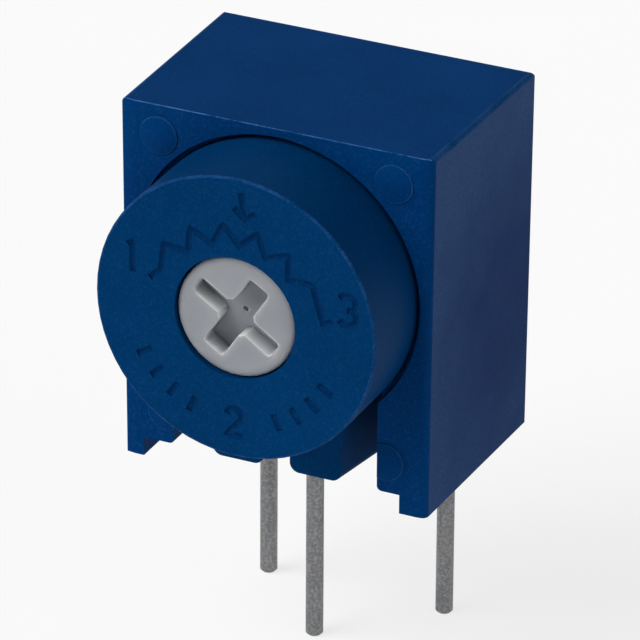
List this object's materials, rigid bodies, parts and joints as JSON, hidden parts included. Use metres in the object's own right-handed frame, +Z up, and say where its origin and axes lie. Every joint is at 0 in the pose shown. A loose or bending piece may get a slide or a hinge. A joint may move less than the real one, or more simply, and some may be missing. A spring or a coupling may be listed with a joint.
{
  "type": "trimmer potentiometer",
  "caption": "Single-turn trimmer: round sealed case with a cross-slot rotor, set in a square side-adjust block on round bent leads.",
  "frame": {"origin": "middle of lead 2 on the circuit board's plane, on which the block's rails stand", "axes": "+Z up from the board, -Y to the front with the rotor, +X to the right seen from the front"},
  "size_m": [0.0088, 0.0082, 0.0154],
  "materials": {
    "block_plastic": "fine matte grain, deep blue",
    "case_plastic": "fine matte grain, deep blue",
    "rotor_plastic": "natural translucent white, satin",
    "seal_rubber": "matte black",
    "spring_alloy": "bright stamped sheet",
    "ceramic": "fired white ceramic",
    "resistive_film": "fired black film",
    "conductor_film": "fired metal film",
    "tinned_wire": "dull tinned copper",
    "solder": "soft solder",
    "sealing_compound": "cast resin, dark blue"
  },
  "bodies": {
    "stator": {"side_housing": "block_plastic", "trimmer_case": "case_plastic", "ceramic_disc": "ceramic", "resistive_track": "resistive_film", "collector_track": "conductor_film", "end_pad_1": "conductor_film", "end_pad_3": "conductor_film", "lead_1": "tinned_wire", "lead_2": "tinned_wire", "lead_3": "tinned_wire", "solder_joint_1": "solder", "solder_joint_2": "solder", "solder_joint_3": "solder", "back_seal": "sealing_compound"},
    "rotor": {"rotor": "rotor_plastic", "o_ring": "seal_rubber", "wiper_spring": "spring_alloy"}
  },
  "joints": [
    {"name": "rotor_turn", "type": "hinge", "parent": "stator", "child": "rotor", "pos_m": [0, -0.0035, 0.00573], "axis": [0, 1, 0], "range_deg": [-173.6, 106.4]}
  ]
}
